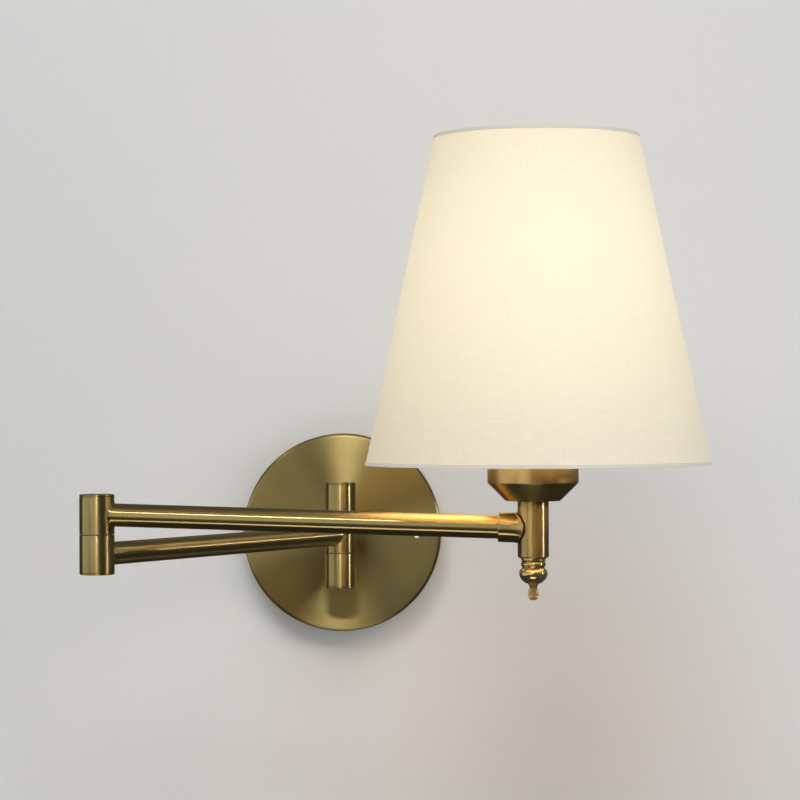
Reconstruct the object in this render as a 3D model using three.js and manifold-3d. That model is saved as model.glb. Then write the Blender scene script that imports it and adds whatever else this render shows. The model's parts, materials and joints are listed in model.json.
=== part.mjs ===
// Swing arm wall sconce: a round brass backplate, a three-segment hinge post, two equal tube arms
// that fold at an elbow, and a lamp head with a conical fabric shade.
// Millimetres, +Z up. The origin is the centre of the backplate on the wall plane, and the lamp
// stands out from the wall towards -Y.
import * as THREE from 'three';
import { mergeVertices } from 'three/addons/utils/BufferGeometryUtils.js';
import Module from 'manifold-3d';

const wasm = await Module();
wasm.setup();

// ---------------------------------------------------------------- driving dimensions

const seam = 0.2; // clearance between neighbouring pieces
const plate = { radius: 60, depth: 20, wall: 1.4, edge: 2.0 };
const strap = { length: 108, height: 20, thickness: 2.2, slotX: 27, slotLength: 12, slotRadius: 2.4 };
const coverScrew = { x: 45.2, headRadius: 4, headHeight: 2.4, shankRadius: 1.9, tip: 0.5 };
const earthScrew = { x: 13, headRadius: 3.6, headHeight: 2.2, shankRadius: 1.8, tip: 0.3 };
const terminal = {
  width: 26,
  pitch: 8,
  low: 30,
  high: 43,
  bottom: 4,
  top: 14,
  wireHole: 1.9,
  screwHole: 1.7,
};

const postFromWall = 50; // hinge post's axis, from the wall
const pitch = 20.8; // height of one hinge segment, with its share of the joint line
const half = pitch / 2;
const joint = 0.4; // visible line between two segments
const barrel = { radius: 9.1, chamber: 7.3, floor: 3.0, recess: 0.6 };
const barrelSegments = 32;
const cap = { height: 1.0, plug: 7.1, plugHeight: 1.1 };
const pivot = { radius: 4.0, bore: 2.6 };
const nut = { acrossCorners: 13.6, height: 2.7 };
const washer = { radius: 7.0, height: 1.2 };

const stub = { radius: 5.0, bore: 3.0, shoulderRadius: 8.0, shoulderHeight: 3.0 };
const stubNut = { acrossCorners: 16.2, height: 3.4 };

const arm = { length: 226, radius: 6.0, bore: 5.0, droop: 1.8 };
const lowerHeading = 238.2; // direction of the lower arm seen from above, from +X
const elbowFold = 118.3; // turn of the upper arm from the lower one
const lead = { radius: 1.6, bend: 4.2, passage: 4.2 }; // passage: radius of the holes it goes through

const collar = { radius: 7.7, bore: 6.2, start: 17.8, saddleRadius: 10.9, lip: 0.4 };
const stem = { radius: 8.0, bottom: -1.4, edge: 0.7, finialHole: 2.5, floor: 7 };
const finialTurning = {
  ballRadius: 7.3,
  ballMiddle: 7.7,
  ballRise: 4.2,
  ballFall: 6.0,
  neck: 2.35,
  dropRadius: 2.75,
  length: 21.6,
};
const nipple = { radius: 5.0, bore: 3.6, bottom: 17, top: 44 };
const cup = { radius: 23.4, footRadius: 14.4, bottom: 27.7, shoulder: 37.0, top: 55, wall: 1.1 };
const holder = {
  radius: 18.5,
  bore: 9,
  baseTop: 54,
  skirtRadius: 19.4,
  skirtBore: 14.4,
  flangeRadius: 25.5,
  top: 84,
};
const ringNut = { radius: 26.5, height: 4.5, edge: 1.5 };
const bulb = { capRadius: 13.2, neckRadius: 15, waist: 24, radius: 30, bottom: 58.5, waistZ: 108, top: 166 };

const shade = {
  bottomRadius: 88.4,
  topRadius: 52.6,
  bottom: 46.1,
  top: 214.7,
  thickness: 0.9,
  offset: 2.4, // the carrier ring has play, so the shade hangs a little off the lampholder's axis
};
const rim = { legHeight: 2.4, thickness: 0.35, clear: 0.12, bridge: 0.45 };
const wire = { radius: 1.1, sides: 5, bend: 6 };
const hoopInset = 1.8; // height of each wire hoop from its edge of the shade
const carrier = { inner: 22.2, outer: 29.2, bottom: 57.3, height: 1.5, arms: 3, flat: 14, firstArm: 30 };

// ---------------------------------------------------------------- materials

const finish = (color, roughness, metalness) =>
  new THREE.MeshStandardMaterial({ color, roughness, metalness });
const satinBrass = finish(0x9a8352, 0.34, 1);
const polishedBrass = finish(0xb08a4c, 0.15, 1);
const nickel = finish(0xc4c2bd, 0.25, 1);
const zinc = finish(0xa9adb0, 0.4, 1);
const nylon = finish(0xe8e4da, 0.6, 0);
const blackPlastic = finish(0x1c1b1a, 0.5, 0);
const whitePlastic = finish(0xeeece6, 0.45, 0);
const frosted = finish(0xfff4dc, 0.5, 0);
const linen = finish(0xf3e8d2, 0.9, 0);
const tape = finish(0xe9e6df, 0.85, 0);
const whiteWire = finish(0xe6e3dc, 0.5, 0.2);
const leadJacket = finish(0x6b5a36, 0.55, 0);

// ---------------------------------------------------------------- solids

const radians = THREE.MathUtils.degToRad;

// A closed three.js geometry as a manifold solid, with its faces turned outwards.
function solid(geometry) {
  const bare = geometry.index ? geometry.toNonIndexed() : geometry.clone();
  bare.deleteAttribute('normal');
  bare.deleteAttribute('uv');
  const merged = mergeVertices(bare, 1e-4);
  const index = merged.index.array;
  const triangles = [];
  for (let i = 0; i < index.length; i += 3) {
    const [a, b, c] = [index[i], index[i + 1], index[i + 2]];
    if (a !== b && b !== c && c !== a) triangles.push(a, b, c);
  }
  const build = (tris) =>
    new wasm.Manifold(
      new wasm.Mesh({
        numProp: 3,
        vertProperties: new Float32Array(merged.attributes.position.array),
        triVerts: new Uint32Array(tris),
      }),
    );
  const first = build(triangles);
  if (first.volume() > 0) return first;
  for (let i = 0; i < triangles.length; i += 3) {
    [triangles[i + 1], triangles[i + 2]] = [triangles[i + 2], triangles[i + 1]];
  }
  return build(triangles);
}

// A named mesh from a manifold solid.
function mesh(name, shape, material) {
  const { numProp, vertProperties, triVerts } = shape.getMesh();
  const count = vertProperties.length / numProp;
  const positions = new Float32Array(count * 3);
  for (let i = 0; i < count; i += 1) {
    for (let axis = 0; axis < 3; axis += 1) {
      positions[3 * i + axis] = vertProperties[numProp * i + axis];
    }
  }
  const geometry = new THREE.BufferGeometry();
  geometry.setAttribute('position', new THREE.BufferAttribute(positions, 3));
  geometry.setIndex(new THREE.BufferAttribute(new Uint32Array(triVerts), 1));
  geometry.computeVertexNormals();
  const result = new THREE.Mesh(geometry, material);
  result.name = name;
  return result;
}

// A solid of revolution about Z from (radius, z) points, which start and end on the axis
// or close on themselves.
function turned(points, segments = 20) {
  const profile = points.map(([radius, z]) => new THREE.Vector2(radius, z));
  const onAxis = points[0][0] === 0 && points[points.length - 1][0] === 0;
  if (!onAxis) profile.push(profile[0].clone());
  return solid(new THREE.LatheGeometry(profile, segments).rotateX(Math.PI / 2));
}

const disc = (radius, z0, z1, segments) =>
  turned([[0, z0], [radius, z0], [radius, z1], [0, z1]], segments);

const ring = (outer, inner, z0, z1, segments) =>
  turned([[outer, z0], [outer, z1], [inner, z1], [inner, z0]], segments);

// A hexagonal nut with a round hole.
const hexNut = (acrossCorners, hole, z0, z1) =>
  disc(acrossCorners / 2, z0, z1, 6).subtract(disc(hole, z0 - 1, z1 + 1, 16));

// A box from its two corners.
function box([x0, y0, z0], [x1, y1, z1]) {
  const geometry = new THREE.BoxGeometry(x1 - x0, y1 - y0, z1 - z0);
  return solid(geometry.translate((x0 + x1) / 2, (y0 + y1) / 2, (z0 + z1) / 2));
}

// A cylinder or a tube whose axis runs from one point to another.
function rod(from, to, radius, segments = 24, bore = 0) {
  const start = new THREE.Vector3(...from);
  const along = new THREE.Vector3(...to).sub(start);
  const length = along.length();
  const profile = bore
    ? [[radius, 0], [radius, length], [bore, length], [bore, 0], [radius, 0]]
    : [[0, 0], [radius, 0], [radius, length], [0, length]];
  const points = profile.map(([r, y]) => new THREE.Vector2(r, y));
  const turn = new THREE.Quaternion();
  turn.setFromUnitVectors(new THREE.Vector3(0, 1, 0), along.normalize());
  const geometry = new THREE.LatheGeometry(points, segments);
  geometry.applyQuaternion(turn).translate(start.x, start.y, start.z);
  return solid(geometry);
}

// A path of straight runs joined by bends, with few steps on the runs and more in the bends.
class LeadPath extends THREE.Curve {
  constructor(corners, bend, bendSteps = 4) {
    super();
    const points = corners.map((corner) => new THREE.Vector3(...corner));
    this.stops = [points[0]];
    for (let i = 1; i < points.length - 1; i += 1) {
      const towards = (other) => points[i].clone().lerp(other, bend / points[i].distanceTo(other));
      const curve = new THREE.QuadraticBezierCurve3(
        towards(points[i - 1]),
        points[i],
        towards(points[i + 1]),
      );
      this.stops.push(...curve.getPoints(bendSteps));
    }
    this.stops.push(points[points.length - 1]);
  }

  get steps() {
    return this.stops.length - 1;
  }

  getPoint(t, target = new THREE.Vector3()) {
    const place = Math.min(Math.max(t, 0), 1) * this.steps;
    const index = Math.min(Math.floor(place), this.steps - 1);
    return target.copy(this.stops[index]).lerp(this.stops[index + 1], place - index);
  }

  getUtoTmapping(u) {
    return u;
  }
}

// A round cable, or a bent wire, along such a path.
function cable(corners, radius, bend) {
  const extrudePath = new LeadPath(corners, bend);
  const section = new THREE.Shape().absarc(0, 0, radius, 0, 2 * Math.PI);
  const options = { extrudePath, steps: extrudePath.steps, curveSegments: 4, bevelEnabled: false };
  return solid(new THREE.ExtrudeGeometry(section, options));
}

// Turns a shape built about Z so that its +Z points along -Y, towards the room.
function facingRoom(group, ...meshes) {
  const turn = new THREE.Group();
  turn.rotation.x = Math.PI / 2;
  turn.add(...meshes);
  group.add(turn);
}

// ---------------------------------------------------------------- wall side

// The backplate is a shallow cup with its open side on the wall.
function backplate() {
  const { radius, depth, wall, edge } = plate;
  const rounded = [];
  const edgeSteps = 3;
  for (let step = 0; step <= edgeSteps; step += 1) {
    const angle = (step / edgeSteps) * (Math.PI / 2);
    rounded.push([radius - edge + edge * Math.cos(angle), depth - edge + edge * Math.sin(angle)]);
  }
  const inner = radius - wall;
  let shape = turned(
    [
      [radius, 0],
      ...rounded,
      [0, depth],
      [0, depth - wall],
      [inner - edge, depth - wall],
      [inner, depth - wall - edge],
      [inner, 0],
      [radius, 0],
    ].reverse(),
    60,
  );
  const pierce = (x, y, hole, segments) => {
    shape = shape.subtract(rod([x, y, depth - 2 * wall], [x, y, depth + 1], hole, segments));
  };
  for (const side of [-1, 1]) {
    pierce(side * coverScrew.x, 0, coverScrew.shankRadius + 2 * seam, 16);
    pierce(0, side * pitch, stub.radius + 1.5 * seam, 24);
  }
  return mesh('backplate', shape, satinBrass);
}

function mountingStrap() {
  const { length, height, thickness, slotX, slotLength, slotRadius } = strap;
  const outline = new THREE.Shape();
  const halfLength = length / 2;
  const corner = 4;
  outline.moveTo(-halfLength + corner, -height / 2);
  outline.lineTo(halfLength - corner, -height / 2);
  outline.absarc(halfLength - corner, -height / 2 + corner, corner, -Math.PI / 2, 0);
  outline.absarc(halfLength - corner, height / 2 - corner, corner, 0, Math.PI / 2);
  outline.absarc(-halfLength + corner, height / 2 - corner, corner, Math.PI / 2, Math.PI);
  outline.absarc(-halfLength + corner, -height / 2 + corner, corner, Math.PI, 1.5 * Math.PI);
  const roundHole = (x, radius) => new THREE.Path().absarc(x, 0, radius, 0, 2 * Math.PI, true);
  for (const side of [-1, 1]) {
    const slot = new THREE.Path();
    const reach = slotLength / 2 - slotRadius;
    slot.absarc(side * slotX + reach, 0, slotRadius, -Math.PI / 2, Math.PI / 2);
    slot.absarc(side * slotX - reach, 0, slotRadius, Math.PI / 2, 1.5 * Math.PI);
    outline.holes.push(slot);
    outline.holes.push(roundHole(side * coverScrew.x, coverScrew.shankRadius + seam));
  }
  outline.holes.push(roundHole(earthScrew.x, earthScrew.shankRadius + seam));
  const options = { depth: thickness, bevelEnabled: false, curveSegments: 6 };
  return mesh('mounting_strap', solid(new THREE.ExtrudeGeometry(outline, options)), zinc);
}

// A pan-head screw along Z with a straight slot; seat is the underside of its head.
function panScrew(name, side, seat, { x, headRadius, headHeight, shankRadius, tip }, material) {
  const slotHalf = 0.45;
  const profile = [
    [0, tip],
    [shankRadius * 0.7, tip],
    [shankRadius, tip + shankRadius * 0.5],
    [shankRadius, seat],
    [headRadius, seat],
    [headRadius, seat + headHeight * 0.45],
    [headRadius * 0.82, seat + headHeight * 0.85],
    [headRadius * 0.5, seat + headHeight],
    [0, seat + headHeight],
  ];
  const slotFloor = seat + headHeight * 0.5;
  const slot = box([-headRadius, -slotHalf, slotFloor], [headRadius, slotHalf, slotFloor + headHeight]);
  const screw = mesh(name, turned(profile, 16).subtract(slot), material);
  screw.position.x = side * x;
  return screw;
}

// Three poles on a base, each with a cross hole for the wires and a hole for its clamping screw.
function terminalBlock() {
  const { width, pitch: step, low, high, bottom, top, wireHole, screwHole } = terminal;
  const baseTop = (bottom + top) / 2;
  const wireZ = bottom + 2.5;
  const middle = (low + high) / 2;
  let shape = box([-width / 2, low, bottom], [width / 2, high, baseTop]);
  for (const pole of [-step, 0, step]) {
    shape = shape.add(box([pole - step * 0.4, low + 1, baseTop - 1], [pole + step * 0.4, high - 1, top]));
    shape = shape.subtract(rod([pole, low - 1, wireZ], [pole, high + 1, wireZ], wireHole, 12));
    shape = shape.subtract(rod([pole, middle, baseTop + 1], [pole, middle, top + 1], screwHole, 12));
  }
  return mesh('terminal_block', shape, whitePlastic);
}

// A hollow threaded stub carries each fixed hinge barrel; z runs from the wall to the post.
function hingeStub(name, side) {
  const inside = plate.depth - 7.5;
  const shoulder = plate.depth + seam;
  const shape = turned(
    [
      [stub.radius, inside],
      [stub.radius, shoulder],
      [stub.shoulderRadius, shoulder],
      [stub.shoulderRadius, shoulder + stub.shoulderHeight - 1],
      [stub.shoulderRadius - 1, shoulder + stub.shoulderHeight],
      [stub.radius, shoulder + stub.shoulderHeight],
      [stub.radius, postFromWall],
      [stub.bore, postFromWall],
      [stub.bore, inside],
    ],
    24,
  ).subtract(rod([0, -20, postFromWall], [0, 20, postFromWall], barrel.radius + seam, barrelSegments));
  const piece = mesh(name, shape, satinBrass);
  piece.position.y = side * pitch;
  return piece;
}

function stubLockNut(name, side) {
  const top = plate.depth - plate.wall - seam;
  const shape = hexNut(stubNut.acrossCorners, stub.radius + seam, top - stubNut.height, top);
  const piece = mesh(name, shape, zinc);
  piece.position.y = side * pitch;
  return piece;
}

// ---------------------------------------------------------------- hinges

// A barrel from low to high, open above, with a hole for the wires towards +X. Its floor has the
// pivot's hole and a recess for the washer.
function barrelShell(low, high) {
  const { radius, chamber, floor, recess } = barrel;
  const bore = pivot.radius + seam;
  const shell = turned(
    [
      [radius, low],
      [radius, high],
      [chamber, high],
      [chamber, low + floor],
      [bore, low + floor],
      [bore, low + recess],
      [washer.radius + seam, low + recess],
      [washer.radius + seam, low],
    ],
    barrelSegments,
  );
  return shell.subtract(rod([0, 0, 0], [radius + 1, 0, 0], lead.passage, 20));
}

// A slightly domed cap with a plug that sits in the barrel's mouth.
function endCap(name, z, flip) {
  const top = half;
  const shape = turned(
    [
      [0, top - cap.height - cap.plugHeight],
      [cap.plug, top - cap.height - cap.plugHeight],
      [cap.plug, top - cap.height],
      [barrel.radius, top - cap.height],
      [barrel.radius, top - 0.35],
      [barrel.radius - 0.4, top],
      [0, top + 0.1],
    ],
    barrelSegments,
  );
  const piece = mesh(name, shape, satinBrass);
  piece.position.z = z;
  piece.rotation.x = flip ? Math.PI : 0;
  return piece;
}

// An end barrel with its middle at z and its wire hole towards the heading. A cap closes its mouth,
// which is up, or down when flipped.
function endBarrel(name, z, heading, flip) {
  const shell = barrelShell(-half + joint / 2, half - cap.height - seam);
  const piece = mesh(name, shell, satinBrass);
  piece.position.z = z;
  piece.rotation.set(flip ? Math.PI : 0, 0, radians(heading));
  return piece;
}

const washerAt = (name, z) => {
  const low = z - washer.height / 2;
  const shape = ring(washer.radius, pivot.radius + seam, low, low + washer.height);
  return mesh(name, shape, nylon);
};

const pivotNut = (name, z0) =>
  mesh(name, hexNut(nut.acrossCorners, pivot.radius + seam, z0, z0 + nut.height), zinc);

// The upper barrel's floor, above a joint line at half, and what a pivot stands out past the floor.
const floorTop = half + joint / 2 + barrel.floor;
const pivotReach = nut.height + 2 * seam + 0.5;

// A hollow pivot across the joint line at z = half.
function pivotTube(name) {
  const low = half - joint / 2 - barrel.floor - pivotReach;
  const shape = ring(pivot.radius, pivot.bore, low, floorTop + pivotReach);
  return mesh(name, shape, zinc);
}

// A bolt with a hex head below, across the joint line at z = -half.
function pivotBolt(name) {
  const headTop = -floorTop - seam;
  const head = disc(nut.acrossCorners / 2, headTop - nut.height, headTop, 6);
  const shank = disc(pivot.radius, headTop - 1, -half + joint / 2 + barrel.floor + pivotReach);
  return mesh(name, head.add(shank), zinc);
}

// The middle barrel turns on the post. A plug is the floor at its upper end.
function middleBarrel() {
  const end = half - joint / 2;
  return mesh('middle_barrel', barrelShell(-end, end), satinBrass);
}

function middlePlug() {
  const end = half - joint / 2;
  const shape = ring(barrel.chamber - seam, pivot.radius + seam, end - barrel.floor, end - barrel.recess);
  return mesh('middle_barrel_plug', shape, satinBrass);
}

// ---------------------------------------------------------------- arms

// The larger part of a solid that a cut has left in pieces.
const largest = (shape) => shape.decompose().sort((a, b) => b.volume() - a.volume())[0];

// A hollow arm tube along +X from the hinge axis, coped round the barrel at its start
// and round a cylinder of the given radius at its end.
function armTube(name, z, droop, endRadius) {
  const drop = arm.length * Math.tan(radians(droop));
  const tube = rod([0, 0, z], [arm.length, 0, z - drop], arm.radius, 24, arm.bore);
  const reach = 3 * pitch;
  const startCut = rod([0, 0, -reach], [0, 0, reach], barrel.radius + seam, barrelSegments);
  const endCut = rod([arm.length, 0, -reach], [arm.length, 0, reach], endRadius + seam, barrelSegments);
  return mesh(name, largest(tube.subtract(startCut).subtract(endCut)), satinBrass);
}

// ---------------------------------------------------------------- lamp head

const armSlope = Math.tan(radians(arm.droop));
const armZ = pitch - arm.length * armSlope; // where the arm meets the stem

// A sleeve over the end of the arm, which comes from -X. Its end is hollowed to a saddle that is
// wider than the stem.
function armCollar() {
  const { radius, bore, start, saddleRadius, lip } = collar;
  const at = (x) => [x, 0, armZ - x * armSlope];
  const sleeve = rod(at(-start + lip), at(0), radius, 24, bore);
  const edge = rod(at(-start), at(-start + 1.25 * lip), radius - lip, 24, bore);
  const saddleX = saddleRadius - stem.radius;
  const reach = 2 * radius;
  const saddle = rod(
    [saddleX, 0, armZ - reach],
    [saddleX, 0, armZ + reach],
    saddleRadius + seam,
    barrelSegments,
  );
  return mesh('arm_collar', largest(sleeve.add(edge).subtract(saddle)), satinBrass);
}

function headStem() {
  const { radius, bottom, edge } = stem;
  const top = cup.bottom - seam;
  const shape = turned(
    [
      [radius - edge, bottom],
      [radius, bottom + edge],
      [radius, top],
      [nipple.radius + seam, top],
      [nipple.radius + seam, nipple.bottom - seam],
      [lead.passage, nipple.bottom - seam],
      [lead.passage, stem.floor],
      [stem.finialHole, stem.floor],
      [stem.finialHole, bottom],
    ],
    barrelSegments,
  ).subtract(rod([-radius - 1, 0, armZ], [0, 0, armZ], lead.passage - seam, 20));
  return mesh('head_stem', shape, satinBrass);
}

// A turned finial: a ring, a ball that is fuller below, a short neck and a small drop.
function finial() {
  const top = stem.bottom - seam;
  const { ballRadius, ballMiddle, ballRise, ballFall, neck, dropRadius, length } = finialTurning;
  const ballZ = top - ballMiddle;
  const belly = (fromDeg, toDeg, halfHeight, steps) => {
    const points = [];
    for (let i = 0; i <= steps; i += 1) {
      const angle = radians(fromDeg + ((toDeg - fromDeg) * i) / steps);
      points.push([ballRadius * Math.cos(angle), ballZ + halfHeight * Math.sin(angle)]);
    }
    return points;
  };
  const tip = top - length;
  const shank = stem.finialHole - seam;
  const profile = [
    [0, tip],
    [dropRadius * 0.6, tip + 0.3],
    [dropRadius * 0.9, tip + 1.2],
    [dropRadius, tip + 2.8],
    [dropRadius * 0.92, tip + 4.6],
    [neck, tip + 6.2],
    ...belly(-70, -15, ballFall, 4),
    ...belly(0, 38, ballRise, 3),
    [6.0, top - 4.6],
    [6.4, top - 3.3],
    [6.4, top - 1.5],
    [6.1, top - 0.9],
    [6.5, top - 0.4],
    [6.5, top],
    [shank, top],
    [shank, stem.floor - 2],
    [0, stem.floor - 2],
  ];
  return mesh('finial', turned(profile, 20), polishedBrass);
}

function stemNipple() {
  return mesh('stem_nipple', ring(nipple.radius, nipple.bore, nipple.bottom, nipple.top, 24), zinc);
}

function socketCup() {
  const { radius, footRadius, bottom, shoulder, top, wall } = cup;
  const hole = nipple.radius + seam;
  const shape = turned(
    [
      [hole, bottom],
      [footRadius - 0.5, bottom],
      [footRadius, bottom + 0.4],
      [radius, shoulder],
      [radius, top],
      [radius - wall, top],
      [radius - wall, shoulder + 0.5],
      [footRadius - 0.6, bottom + wall],
      [hole, bottom + wall],
    ],
    36,
  );
  return mesh('socket_cup', shape, satinBrass);
}

function lampholderBase() {
  const { radius, bore, baseTop } = holder;
  const low = cup.bottom + cup.wall + seam;
  const shape = turned(
    [
      [nipple.radius + seam, low],
      [12, low],
      [radius, low + 8],
      [radius, baseTop],
      [bore, baseTop],
      [bore, baseTop - 4],
      [nipple.radius + seam, baseTop - 7],
    ],
    24,
  );
  return mesh('lampholder_base', shape, blackPlastic);
}

function lampholderSkirt() {
  const low = cup.top + seam;
  const shape = turned(
    [
      [holder.skirtBore, low],
      [holder.flangeRadius, low],
      [holder.flangeRadius, carrier.bottom - seam],
      [holder.skirtRadius, carrier.bottom - seam],
      [holder.skirtRadius, holder.top],
      [holder.skirtBore, holder.top],
    ],
    24,
  );
  return mesh('lampholder_skirt', shape, whitePlastic);
}

// The nut that clamps the shade's carrier ring on the lampholder.
function carrierNut() {
  const { radius, height, edge } = ringNut;
  const low = carrier.bottom + carrier.height + seam;
  const high = low + height;
  const hole = holder.skirtRadius + seam;
  const profile = [[hole, low], [radius, low], [radius, high - edge], [radius - edge, high], [hole, high]];
  return mesh('shade_ring_nut', turned(profile, 24), whitePlastic);
}

function bulbCap() {
  const { capRadius, bottom } = bulb;
  const profile = [
    [0, bottom],
    [4.4, bottom],
    [5, bottom + 1.6],
    [capRadius - 1, bottom + 4],
    [capRadius, bottom + 5],
    [capRadius, holder.top + 0.2],
    [0, holder.top + 0.2],
  ];
  return mesh('bulb_cap', turned(profile, 24), nickel);
}

function bulbHousing() {
  const low = holder.top + 0.4;
  const profile = [
    [0, low],
    [bulb.neckRadius - 1, low],
    [bulb.neckRadius, low + 3],
    [bulb.neckRadius + 2.6, low + 11],
    [bulb.waist, bulb.waistZ],
    [0, bulb.waistZ],
  ];
  return mesh('bulb_housing', turned(profile, 24), whitePlastic);
}

// The frosted globe: a shell, open towards the housing.
function bulbGlobe() {
  const { waist, waistZ, radius, top } = bulb;
  const middle = top - radius;
  const wall = 1.2;
  const low = waistZ + seam;
  const steps = 5;
  const from = Math.atan2(low - middle, waist) * 0.82;
  const outer = [];
  const inner = [];
  for (let i = 0; i <= steps; i += 1) {
    const angle = from + ((Math.PI / 2 - from) * i) / steps;
    const last = i === steps;
    outer.push([last ? 0 : radius * Math.cos(angle), middle + radius * Math.sin(angle)]);
    inner.push([last ? 0 : (radius - wall) * Math.cos(angle), middle + (radius - wall) * Math.sin(angle)]);
  }
  const profile = [[waist, low], ...outer, ...inner.reverse(), [waist - wall, low]];
  return mesh('bulb_globe', turned(profile, 24), frosted);
}

// ---------------------------------------------------------------- shade

const shadeSlope = (shade.bottomRadius - shade.topRadius) / (shade.top - shade.bottom);
const shadeSegments = 48;
const shadeRadius = (z) => shade.bottomRadius - (z - shade.bottom) * shadeSlope;

function shadeFabric() {
  const { bottom, top, thickness } = shade;
  const [z0, z1] = [bottom + 0.6, top - 0.6];
  const shape = turned(
    [
      [shadeRadius(z0), z0],
      [shadeRadius(z1), z1],
      [shadeRadius(z1) - thickness, z1],
      [shadeRadius(z0) - thickness, z0],
    ],
    shadeSegments,
  );
  return mesh('shade_fabric', shape, linen);
}

// The bound edge: a channel folded over the fabric's edge. up is 1 at the bottom, -1 at the top.
function rimTape(name, edgeZ, up) {
  const { legHeight, thickness, clear, bridge } = rim;
  const at = (offset, height) => {
    const z = edgeZ + up * height;
    return [shadeRadius(z) + offset, z];
  };
  const outside = clear + thickness;
  const inside = -shade.thickness - clear;
  const shape = turned(
    [
      at(outside, 0),
      at(inside - thickness, 0),
      at(inside - thickness, legHeight),
      at(inside, legHeight),
      at(inside, bridge),
      at(clear, bridge),
      at(clear, legHeight),
      at(outside, legHeight),
    ],
    shadeSegments,
  );
  return mesh(name, shape, tape);
}

// Centre radius of a wire hoop that fits just inside the bound edge at that height.
const hoopRadius = (z) => shadeRadius(z) - shade.thickness - rim.thickness - 2 * seam - wire.radius;

function wireHoop(name, z) {
  const profile = [];
  for (let i = 0; i < wire.sides; i += 1) {
    const angle = ((i + 0.5) / wire.sides) * 2 * Math.PI;
    profile.push([hoopRadius(z) + wire.radius * Math.cos(angle), z + wire.radius * Math.sin(angle)]);
  }
  return mesh(name, turned(profile, 36), whiteWire);
}

// A flat ring on the lampholder, and the bent wires that join it to the lower hoop.
function shadeCarrier() {
  const { inner, outer, bottom, height, arms, flat, firstArm } = carrier;
  const pieces = [mesh('shade_carrier_ring', ring(outer, inner, bottom, bottom + height, 36), whiteWire)];
  const middle = bottom + height / 2;
  const hoopZ = shade.bottom + hoopInset;
  const outerEnd = hoopRadius(hoopZ) - wire.radius - 2 * seam;
  for (let i = 0; i < arms; i += 1) {
    const corners = [[outer + 1.5 * seam, 0, middle], [outer + flat, 0, middle], [outerEnd, 0, hoopZ]];
    const spoke = mesh(`shade_carrier_arm_${i + 1}`, cable(corners, wire.radius, wire.bend), whiteWire);
    spoke.rotation.z = radians(firstArm + (i * 360) / arms);
    pieces.push(spoke);
  }
  return pieces;
}

// ---------------------------------------------------------------- leads

// From the terminal block, through the upper stub and down the upper pivot.
function supplyLead() {
  const shape = cable(
    [
      [0, -6.5, 29.6],
      [0, -6.5, pitch],
      [0, -postFromWall, pitch],
      [0, -postFromWall, half + 0.2],
    ],
    lead.radius,
    lead.bend,
  );
  return mesh('supply_lead', shape, leadJacket);
}

function lowerArmLead() {
  const corners = [[0, 0, half - 0.2], [0, 0, 0], [arm.length, 0, 0], [arm.length, 0, half - 0.2]];
  return mesh('lower_arm_lead', cable(corners, lead.radius, lead.bend), leadJacket);
}

function upperArmLead() {
  const corners = [
    [0, 0, half + 0.2],
    [0, 0, pitch],
    [arm.length, 0, armZ],
    [arm.length, 0, nipple.top - 1],
  ];
  return mesh('upper_arm_lead', cable(corners, lead.radius, lead.bend), leadJacket);
}

// ---------------------------------------------------------------- assembly

const group = new THREE.Group();

const wallSide = new THREE.Group();
group.add(wallSide);
facingRoom(
  wallSide,
  backplate(),
  mountingStrap(),
  terminalBlock(),
  panScrew('earth_screw', 1, strap.thickness + seam, earthScrew, polishedBrass),
  panScrew('cover_screw_left', -1, plate.depth + seam, coverScrew, nickel),
  panScrew('cover_screw_right', 1, plate.depth + seam, coverScrew, nickel),
  hingeStub('hinge_stub_upper', 1),
  hingeStub('hinge_stub_lower', -1),
  stubLockNut('stub_nut_upper', 1),
  stubLockNut('stub_nut_lower', -1),
);
wallSide.add(supplyLead());

const post = new THREE.Group();
post.position.y = -postFromWall;
group.add(post);
const towardsWall = 90;
post.add(
  endBarrel('post_barrel_upper', pitch, towardsWall, false),
  endBarrel('post_barrel_lower', -pitch, towardsWall, true),
  endCap('post_cap_upper', pitch, false),
  endCap('post_cap_lower', -pitch, true),
  pivotTube('post_pivot_tube'),
  pivotBolt('post_pivot_bolt'),
  pivotNut('post_nut_upper', floorTop + seam),
  pivotNut('post_nut_middle_upper', half - joint / 2 - barrel.floor - seam - nut.height),
  pivotNut('post_nut_middle_lower', -half + joint / 2 + barrel.floor + seam),
);

// The lower arm's own frame has +X along the arm.
const lowerArm = new THREE.Group();
lowerArm.rotation.z = radians(lowerHeading);
post.add(lowerArm);
lowerArm.add(
  middleBarrel(),
  middlePlug(),
  washerAt('post_washer_upper', half),
  washerAt('post_washer_lower', -half),
  armTube('lower_arm_tube', 0, 0, barrel.radius),
  lowerArmLead(),
);

const elbow = new THREE.Group();
elbow.position.x = arm.length;
lowerArm.add(elbow);
elbow.add(
  endBarrel('elbow_barrel_lower', 0, 180, true),
  endCap('elbow_cap_lower', 0, true),
  pivotTube('elbow_pivot_tube'),
  pivotNut('elbow_nut_lower', half - joint / 2 - barrel.floor - seam - nut.height),
  pivotNut('elbow_nut_upper', floorTop + seam),
);

// The upper arm's frame has +X along the arm, seen from above.
const upperArm = new THREE.Group();
upperArm.rotation.z = radians(elbowFold);
elbow.add(upperArm);
upperArm.add(
  washerAt('elbow_washer', half),
  endBarrel('elbow_barrel_upper', pitch, 0, false),
  endCap('elbow_cap_upper', pitch, false),
  armTube('upper_arm_tube', pitch, arm.droop, stem.radius),
  upperArmLead(),
);

const head = new THREE.Group();
head.position.x = arm.length;
upperArm.add(head);
head.add(
  armCollar(),
  headStem(),
  finial(),
  stemNipple(),
  socketCup(),
  lampholderBase(),
  lampholderSkirt(),
  carrierNut(),
  bulbCap(),
  bulbHousing(),
  bulbGlobe(),
);

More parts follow.
